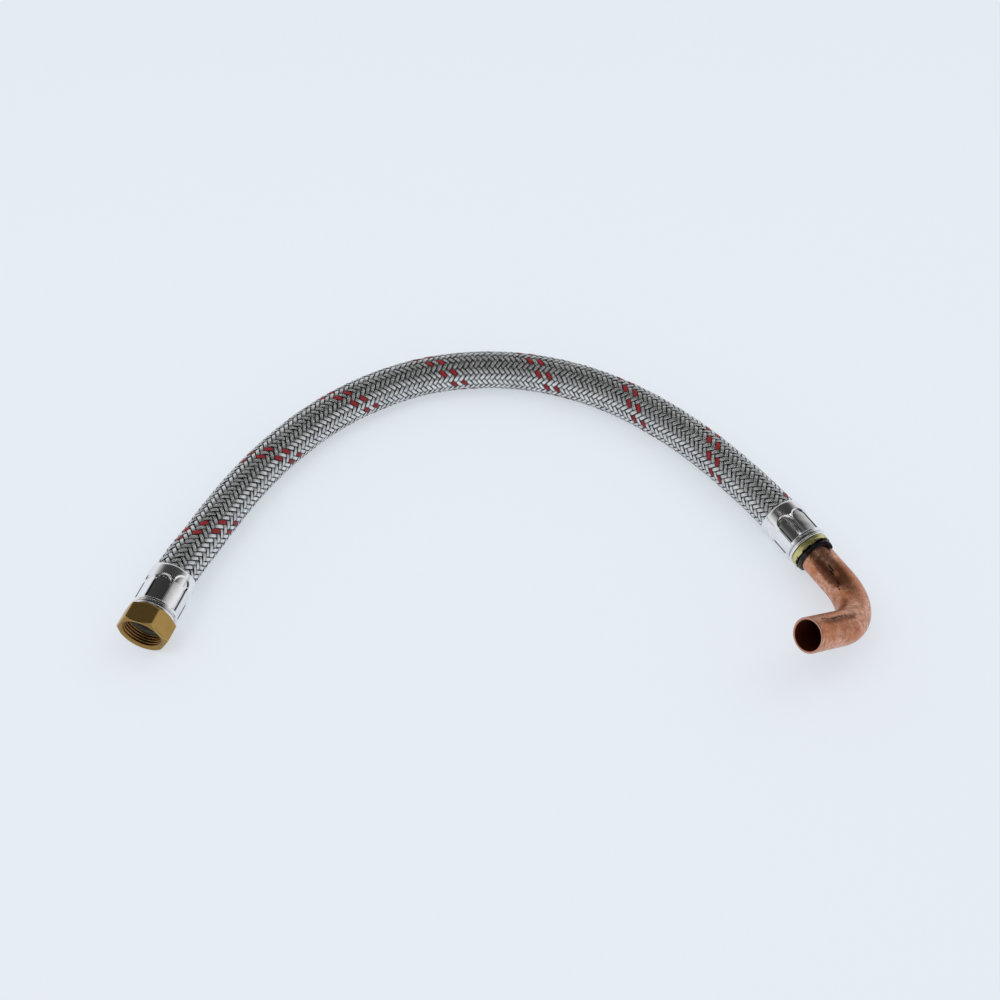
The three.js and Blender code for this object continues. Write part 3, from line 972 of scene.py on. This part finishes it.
copperLook = {
    "clean": (0.58, 0.225, 0.115),
    "pale": (0.86, 0.48, 0.34),
    "dusk": (0.36, 0.135, 0.07),
    "gold": (0.80, 0.44, 0.20),
    "brown": (0.15, 0.05, 0.026),
    "mottle": (0.31, 0.11, 0.05),
    "black": (0.012, 0.006, 0.005),
    "bore": (0.34, 0.09, 0.05),
    "rim": (0.62, 0.34, 0.25),
}


def copperFinish():
    k = newFinish("tarnished_copper")
    look = copperLook
    place = k.node("ShaderNodeTexCoord", out="Object")
    patch = k.noise(45, 4, 0.6, place)
    mottle = k.noise(380, 6, 0.72, place)
    fine = k.noise(900, 4, 0.65, place)
    broad = k.noise(70, 3, 0.5, place)
    colour = k.blend(k.ramp(patch, 0.38, 0.6), look["clean"], look["pale"])
    colour = k.blend(k.ramp(broad, 0.48, 0.66) * 0.6, colour, look["dusk"])
    colour = k.blend(k.ramp(fine, 0.5, 0.7) * 0.45, colour, look["gold"])
    colour = k.blend(k.ramp(mottle + (patch - 0.5) * 0.5, 0.38, 0.7) * 0.75, colour, look["mottle"])
    # A darker brown band along the tube's upper side, leaned towards the arc's inside.
    band = k.mark("brown") + (patch - 0.5) * 0.4 + (mottle - 0.5) * 0.3 + (fine - 0.5) * 0.7
    colour = k.blend(k.ramp(band, 0.3, 0.75) * 0.88, colour, look["brown"])
    scorched = k.mark("burnt") * 0.85 + (mottle - 0.5) * 1.3 + (fine - 0.5) * 0.8
    colour = k.blend(k.ramp(scorched, 0.52, 0.66) * 0.92, colour, look["black"])
    colour = k.blend(k.mark("rim"), colour, look["rim"])
    colour = k.blend(k.mark("inside") * (1 - k.mark("rim")), colour, look["bore"])
    rough = 0.24 + patch * 0.12 + mottle * 0.16 + k.mark("inside") * 0.2
    return k.surface(Base_Color=colour, Metallic=1.0, Roughness=rough,
                     Normal=k.bump(fine, 0.00003, k.bump(mottle, 0.0001)))


fibreLook = {
    "dark": (0.05, 0.056, 0.046),
    "pale": (0.12, 0.13, 0.105),
}


def fibreFinish():
    k = newFinish("washer_fibre")
    grain = k.noise(820, 4, 0.6)
    colour = k.blend(grain, fibreLook["dark"], fibreLook["pale"])
    return k.surface(Base_Color=colour, Roughness=0.75 + grain * 0.15, Normal=k.bump(grain, 0.00009))


print("finishes and pieces")
steelWire = braidFinish("braid_wire", wireLook)
redThread = braidFinish("tracer_red", tracerLook)
steel = steelFinish()

tube = makeTube(rubberFinish())
rightHand = [n for n in range(braid["perWay"]) if n not in braid["tracers"]]
strandsRight = makeStrands("strands_right", 1, rightHand, braid["width"], steelWire)
strandsLeft = makeStrands("strands_left", -1, range(braid["perWay"]), braid["width"], steelWire)
tracers = makeStrands("tracers", 1, braid["tracers"], braid["tracerWidth"], redThread)
makeFerrule("ferrule_nut_end", nutEnd, -3.5, True, 5, steel, "nut_end_ferrule")
elbowFerrule = makeFerrule("ferrule_elbow_end", elbowEnd, -10.5, False, 9, steel, "elbow_end_ferrule")
makeNut(nutFinish())
socketCollar = makeCollar(turnedBrassFinish("pale_brass", collarLook))
brazeRing = makeBead(brazeFinish())
copperOutlet = makeCopper(copperFinish())

for node, finish in (
    ("sealing_washer", fibreFinish()),
    ("nut_end_tail", turnedBrassFinish("tail_metal", tailLook)),
):
    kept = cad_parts[node]
    kept.data.materials.clear()
    kept.data.materials.append(finish)


# Floor, light and surroundings.
studio = {
    "floor": (0.80, 0.845, 0.905),
    "floorTint": (0.77, 0.81, 0.87),
    "floorSize": 7.0,
    "lit": 0.58,         # how far the floor glows by itself, as a light table does
    "glow": 1.03,
    # how bright the room is by height: pale at the horizon, dark overhead
    "room": [
        (0.0, (0.74, 0.765, 0.825)), (0.08, (0.76, 0.79, 0.845)), (0.12, 0.94), (0.26, 0.76), (0.4, 0.48),
        (0.54, 0.26), (0.64, 0.05), (1.0, 0.02),
    ],
    "fill": 0.66,
    "lampSize": (1.6, 1.6),
    "keyPlace": (-1.1, -0.7, 2.1),
    "keyPower": 13,
    "fillPlace": (1.3, 0.7, 1.9),
    "fillPower": 7.8,
    "stripPlace": (0, 0.1, 1.5),
    "stripSize": (1.8, 0.1),
    "stripPower": 1.3,
}


# What a camera, a mirror or glass sees, as against what lights the object.
def seenRays(k):
    rays = k.node("ShaderNodeLightPath", out="Is Camera Ray")
    rays = rays + k.node("ShaderNodeLightPath", out="Is Glossy Ray")
    return rays + k.node("ShaderNodeLightPath", out="Is Transmission Ray")


def makeFloor(s):
    half = s["floorSize"] / 2
    corners = [(-half, -half, 0), (half, -half, 0), (half, half, 0), (-half, half, 0)]
    mesh = bpy.data.meshes.new("floor")
    mesh.from_pydata(corners, [], [(0, 1, 2, 3)])
    k = newFinish("pale_floor")
    tint = k.blend(k.noise(3, 2) * 0.08, s["floor"], s["floorTint"])
    matt = k.node("ShaderNodeBsdfDiffuse", {}, {"Color": tint})
    glow = k.node("ShaderNodeEmission", {}, {"Color": tint, "Strength": s["glow"]})
    both = k.node("ShaderNodeMixShader", {}, {0: seenRays(k) * s["lit"], 1: matt, 2: glow})
    k.node("ShaderNodeOutputMaterial", {}, {"Surface": both})
    mesh.materials.append(k.owner)
    floor = bpy.data.objects.new("floor", mesh)
    floor.location.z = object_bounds()[0].z
    bpy.context.collection.objects.link(floor)
    floor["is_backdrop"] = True


def makeWorld(s):
    world = bpy.data.worlds.new("studio")
    bpy.context.scene.world = world
    k = Finish(world)
    way = k.node("ShaderNodeTexCoord", out="Generated")
    height = k.node("ShaderNodeSeparateXYZ", {}, {0: way}, "Z")
    shown = k.node("ShaderNodeValToRGB", {"stops": s["room"]}, {0: height}, "Color")
    colour = k.blend(seenRays(k), (s["fill"],) * 3, shown)
    light = k.node("ShaderNodeBackground", {}, {"Color": colour, "Strength": 1.0})
    k.node("ShaderNodeOutputWorld", {}, {"Surface": light})


def makeLamp(name, place, size, power, seen=False):
    data = bpy.data.lights.new(name, "AREA")
    data.shape = "RECTANGLE"
    data.size, data.size_y = size
    data.energy = power
    lamp = bpy.data.objects.new(name, data)
    lamp.location = place
    lamp.rotation_euler = (-Vector(place)).to_track_quat("-Z", "Y").to_euler()
    lamp.visible_glossy = seen
    bpy.context.collection.objects.link(lamp)


makeFloor(studio)
makeWorld(studio)
makeLamp("key", studio["keyPlace"], studio["lampSize"], studio["keyPower"])
makeLamp("fill", studio["fillPlace"], studio["lampSize"], studio["fillPower"])
makeLamp("strip", studio["stripPlace"], studio["stripSize"], studio["stripPower"], True)
bpy.context.scene.view_settings.view_transform = "Standard"
print("floor and light")
